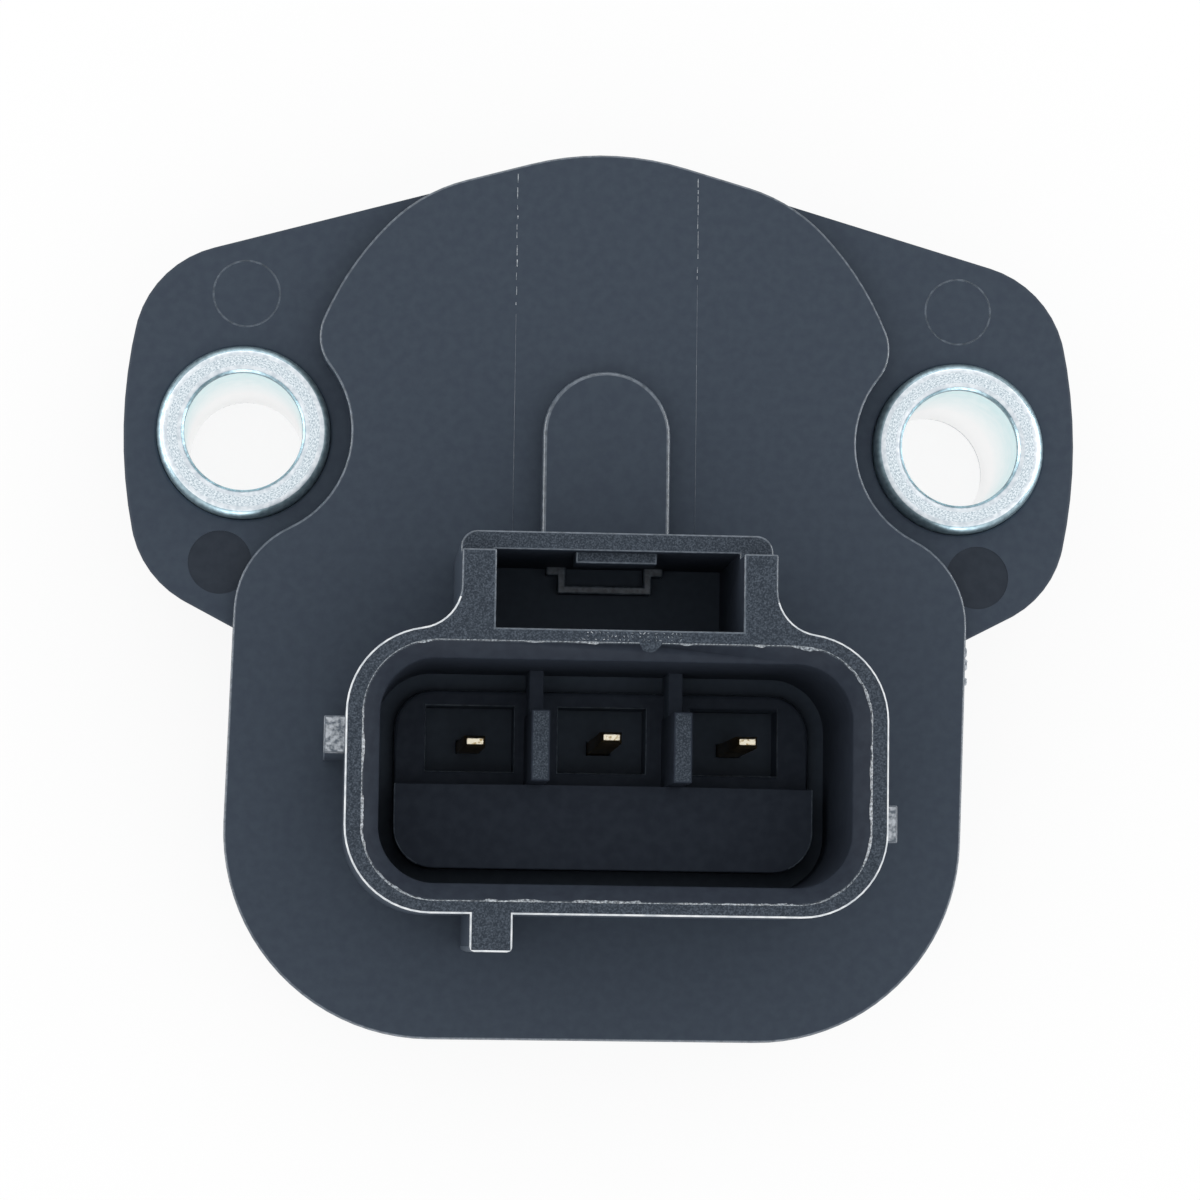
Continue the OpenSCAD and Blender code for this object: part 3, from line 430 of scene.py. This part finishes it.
# The turned face's grain runs round each bolt hole: it reads the distance from the hole's middle
# and the way round it in place of X and Y.
tree = zinc[TURNED].node_tree
spot = add(tree, "SeparateXYZ", inputs={0: add(tree, "TexCoord").outputs["Object"]})
side = add(tree, "Math", {"operation": "ABSOLUTE"}, {0: spot.outputs["X"]})
across = add(tree, "Math", {"operation": "SUBTRACT"}, {0: side.outputs[0], 1: BOLT_X * MM})
turn = add(tree, "Math", {"operation": "ARCTAN2"}, {0: spot.outputs["Y"], 1: across.outputs[0]})
around = add(tree, "Math", {"operation": "MULTIPLY"}, {0: turn.outputs[0], 1: 1.8 * MM})
flat = add(tree, "CombineXYZ", inputs={"X": across.outputs[0], "Y": spot.outputs["Y"]})
away = add(tree, "VectorMath", {"operation": "LENGTH"}, {0: flat.outputs[0]})
polar = add(tree, "CombineXYZ", inputs={"X": away.outputs["Value"], "Y": around.outputs[0]})
tree.links.new(polar.outputs[0], node_of(zinc[TURNED], "TEX_NOISE").inputs["Vector"])

# The bore's colour is painted whiter towards the floor, a painted reflection of the floor that it
# mirrors.
tree = zinc[BORE].node_tree
spot = add(tree, "SeparateXYZ", inputs={0: add(tree, "TexCoord").outputs["Object"]})
low = add(tree, "MapRange", inputs={"Value": spot.outputs["Z"], "From Min": 11 * MM,
                                    "From Max": 4 * MM})
tint(zinc[BORE], low.outputs[0], "#ffffff")
for side, name in ((-1, "bushing_left"), (1, "bushing_right")):
    bushing = merged_copy(name, name + "_tube")
    for made in zinc:
        bushing.data.materials.append(made)
    round_edges(bushing, 0.2, slot=OUTSIDE)
    for face in bushing.data.polygons:
        away = (face.center.xy / MM - Vector((BOLT_X * side, 0))).length
        z, up = face.center.z / MM, face.normal.z
        if abs(up) < 0.9:
            # Walls outside the bore take the darker lip finish, painted shade.
            bore_or_shaded_lip = BORE if away < 3.5 and 0.6 < z < 10.9 else SHADED_LIP
            face.material_index = OUTSIDE if z > 11.5 and (away >= 3.5 or up > 0.35) else bore_or_shaded_lip
    stands_for(bushing, name, "body")


def dress(node, name, body, material, width, sharp=SHARP):
    """A merged copy of a CAD node with its edges eased and one finish, standing for that node."""
    piece = merged_copy(node, name)
    piece.data.materials.append(material)
    round_edges(piece, width, sharp=sharp)
    stands_for(piece, node, body)
    return piece


# Terminals
# Three blades stamped from bronze strip and pressed through the socket's floor. Their sides
# mirror the dark socket; the coined ends are plated, and their upward faces are painted near-white,
# a painted highlight. Two stand out of line.
PIN_L, TIP_LOW, TIP_W, TIP_T = 6.5, 17.9, 1.1, 0.6  # pin over the island; its coined end, mm
blade_finish = grained("bronze_stamped", 0.4, ("#7d6538", "#957a46"), roughness=0.32, metallic=1.0)
tip_highlight_finish = grained("tin_plated_coined_end_painted_highlight", 0.15, ("#b49a62", "#fff6de"), (0.3, 0.5),
                     roughness=0.35, metallic=0.35)
for name, lean in (("terminal_left", -0.2), ("terminal_middle", 0.12), ("terminal_right", 0.0)):
    blade = dress(name, name + "_blade", "body", blade_finish, 0.05)
    blade.data.materials.append(tip_highlight_finish)
    tip = [corner for corner in blade.data.vertices if corner.co.z > TIP_LOW * MM]
    middle = sum((corner.co for corner in tip), Vector()) / len(tip)
    wide, thick = (max(abs(corner.co[i] - middle[i]) for corner in tip) for i in (0, 1))
    for corner in tip:  # the coined end is blunter than a plain taper
        corner.co.x = middle.x + (corner.co.x - middle.x) * TIP_W / 2 * MM / wide
        corner.co.y = middle.y + (corner.co.y - middle.y) * TIP_T / 2 * MM / thick
    for corner in blade.data.vertices:
        corner.co.y += lean * MM * max(0.0, (corner.co.z / MM - ISLAND_TOP) / PIN_L)
    for face in blade.data.polygons:
        # The coined end's upward faces take the near-white finish: painted highlight.
        face.material_index = int(face.center.z > TIP_LOW * MM and face.normal.z > 0.6)

# Contact clips
# Sprung clips folded from thin brass strip; each presses a terminal's leg onto the resistor plate.
strip_brass = grained("brass_spring_strip", 0.5, ("#b9a066", "#d0ba84"), roughness=0.3, metallic=1.0)
for name in ("clip_left", "clip_middle", "clip_right"):
    dress(name, name + "_spring", "body", strip_brass, 0.03)

# Potting
# Black casting resin poured over the terminals' roots; it set with a smooth, glossy face.
resin = grained("cast_resin_glossy", 2.0, ("#1b1f24", "#242930"), roughness=0.12, bump=0.05)
dress("potting", "potting_block", "body", resin, 0.1)

# Resistor plate
# A laminate plate with two printed carbon tracks, bonded to the chamber's roof; the wiper's
# fingers run on the tracks. The carbon is a darker, smoother band at each track's radius.
laminate = grained("laminate_with_carbon_tracks", 0.3, ("#cbc5b3", "#dbd6c8"), roughness=0.5)
tree = laminate.node_tree
flat = add(tree, "VectorMath", {"operation": "MULTIPLY"},
           {0: add(tree, "TexCoord").outputs["Object"], 1: (1, 1, 0)})
radius = add(tree, "VectorMath", {"operation": "LENGTH"}, {0: flat.outputs[0]}).outputs["Value"]
inner, outer = (add(tree, "Math", {"operation": "COMPARE"}, {0: radius, 1: r * MM, 2: 0.75 * MM})
                for r in (6.2, 8.8))
carbon = add(tree, "Math", {"operation": "MAXIMUM"}, {0: inner.outputs[0], 1: outer.outputs[0]})
tint(laminate, carbon.outputs[0], "#1d1d1f")
dress("resistor_plate", "resistor_plate_board", "body", laminate, 0.08)

# Wiper
# A contact strip stamped from spring alloy and staked to the rotor, with two pairs of fingers.
alloy = grained("spring_alloy_stamped", 0.4, ("#c9a850", "#dec172"), roughness=0.28, metallic=1.0)
dress("wiper", "wiper_strip", "rotor", alloy, 0.03)

# Rotor
# Moulded in grey polyester: a hub with the drive socket, a disc with the stop tab, and the
# journal that turns in the hump. It is smoother than the housing.
polyester = grained("polyester_moulded", 0.6, ("#74797f", "#80858c"), roughness=0.42, bump=0.12)
dress("rotor", "rotor_moulding", "rotor", polyester, 0.12)

# Thrust washer
# A thin acetal ring between the rotor's shoulder and the hump's bore: waxy and off-white.
acetal = grained("acetal_moulded", 0.8, ("#dedacd", "#e9e5da"), roughness=0.35, bump=0.08)
dress("thrust_washer", "thrust_washer_ring", "body", acetal, 0.05)

# Return spring
# A torsion spring coiled from drawn steel wire round the hub; it turns the rotor back to closed.
wire = grained("spring_steel_wire_drawn", 0.25, ("#8b929a", "#b2b9c0"), roughness=0.3, metallic=1.0)
dress("return_spring", "return_spring_coil", "body", wire, 0.03, sharp=60)

# Shaft seal
# A moulded rubber ring in the cover's bore that wipes the hub: dull black.
rubber = grained("nitrile_rubber_moulded", 0.3, ("#121417", "#1a1c20"), roughness=0.65, bump=0.2)
dress("shaft_seal", "shaft_seal_ring", "body", rubber, 0.1)

# Cover and its gasket
# The cover is moulded from the housing's nylon, let into the mounting face, and closes the
# chamber; a bead of cured sealant runs under its edge.
cover_nylon = grained("glass_filled_nylon_cover", 0.5, ("#2a3039", "#30363f"), roughness=0.52, level=0.3)
dress("cover", "cover_moulding", "body", cover_nylon, 0.15)
sealant = grained("cured_sealant_bead", 0.7, ("#17191c", "#1f2124"), roughness=0.45, bump=0.15)
dress("cover_gasket", "cover_gasket_bead", "body", sealant, 0.08)

# Floor, lamps and camera
# A white floor that the sensor lies on, even soft light from all round, and long low lamps
# whose reflections run along the moulded radii. From below the floor doesn't hide the sensor;
# it lies a hair under the mounting face, because two faces in one plane would flicker there.
FLOOR_GAP = 0.02
bpy.ops.object.select_all(action="DESELECT")
bpy.ops.mesh.primitive_plane_add(size=4, location=(0, 0, -FLOOR_GAP * MM))
floor = bpy.context.object
floor.name = "floor"
floor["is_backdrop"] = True
floor.visible_shadow = False
paper = bpy.data.materials.new("white_paper_floor")
paper.use_nodes = True
tree = paper.node_tree
tree.nodes.clear()
sheet = add(tree, "BsdfDiffuse", inputs={"Color": linear("#f8f8f8")})
glow = add(tree, "Emission", inputs={"Color": (1, 1, 1, 1), "Strength": 1.02})
bright = add(tree, "MixShader", inputs={0: 0.87, 1: sheet.outputs[0], 2: glow.outputs[0]})
rays = add(tree, "LightPath")
direct = add(tree, "Math", {"operation": "MAXIMUM"}, {0: rays.outputs["Is Camera Ray"],
                                                      1: rays.outputs["Is Glossy Ray"]})
front = add(tree, "MixShader", inputs={0: direct.outputs[0], 1: sheet.outputs[0], 2: bright.outputs[0]})
clear = add(tree, "BsdfTransparent")
under = add(tree, "NewGeometry").outputs["Backfacing"]
both = add(tree, "MixShader", inputs={0: under, 1: front.outputs[0], 2: clear.outputs[0]})
add(tree, "OutputMaterial", inputs={"Surface": both.outputs[0]})
floor.data.materials.append(paper)

world = bpy.data.worlds.new("studio")
bpy.context.scene.world = world
world.use_nodes = True
tree = world.node_tree
tree.nodes.clear()
level = add(tree, "MapRange", inputs={"Value": add(tree, "LightPath").outputs["Is Camera Ray"],
                                      "To Min": 0.95, "To Max": 1.0})
sky = add(tree, "Background", inputs={"Color": (1, 1, 1, 1), "Strength": level.outputs[0]})
add(tree, "OutputWorld", inputs={"Surface": sky.outputs[0]})


def panel(name, place, width, height, radiance, diffuse):
    """A soft rectangular lamp at a place, in metres, turned to the sensor; without diffuse it
    shows only as a reflection."""
    lamp = bpy.data.lights.new(name, "AREA")
    lamp.shape, lamp.size, lamp.size_y = "RECTANGLE", width, height
    lamp.energy = radiance * math.pi * width * height
    made = bpy.data.objects.new(name, lamp)
    bpy.context.collection.objects.link(made)
    made.location = place
    made.visible_diffuse = diffuse
    made.rotation_euler = (Vector((0, -0.008, 0.012)) - Vector(place)).to_track_quat("-Z", "Y").to_euler()


panel("left", (-0.41, 0.03, 0.105), 0.36, 0.07, 18.0, False)
panel("right", (0.41, 0.03, 0.105), 0.36, 0.07, 18.0, False)
panel("front", (0.0, -0.42, 0.105), 0.36, 0.07, 16.0, False)
panel("back", (0.0, 0.42, 0.14), 0.36, 0.07, 5.0, False)
panel("under", (0.0, 0.0, -0.4), 0.4, 0.4, 0.6, True)

# The camera was solved on the near and far rims of the two bores, straight over the sensor.
lens = bpy.data.cameras.new("camera")
lens.lens, lens.sensor_width = 112.16, 36.0
lens.clip_start, lens.clip_end = 0.01, 10
camera = bpy.data.objects.new("camera", lens)
bpy.context.collection.objects.link(camera)
camera.location = (-0.01498, -0.02681, 0.20689)
camera.rotation_euler = [math.radians(a) for a in (5.27, -4.42, 0.76)]
bpy.context.scene.camera = camera
bpy.context.scene.view_settings.view_transform = "Standard"

low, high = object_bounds()
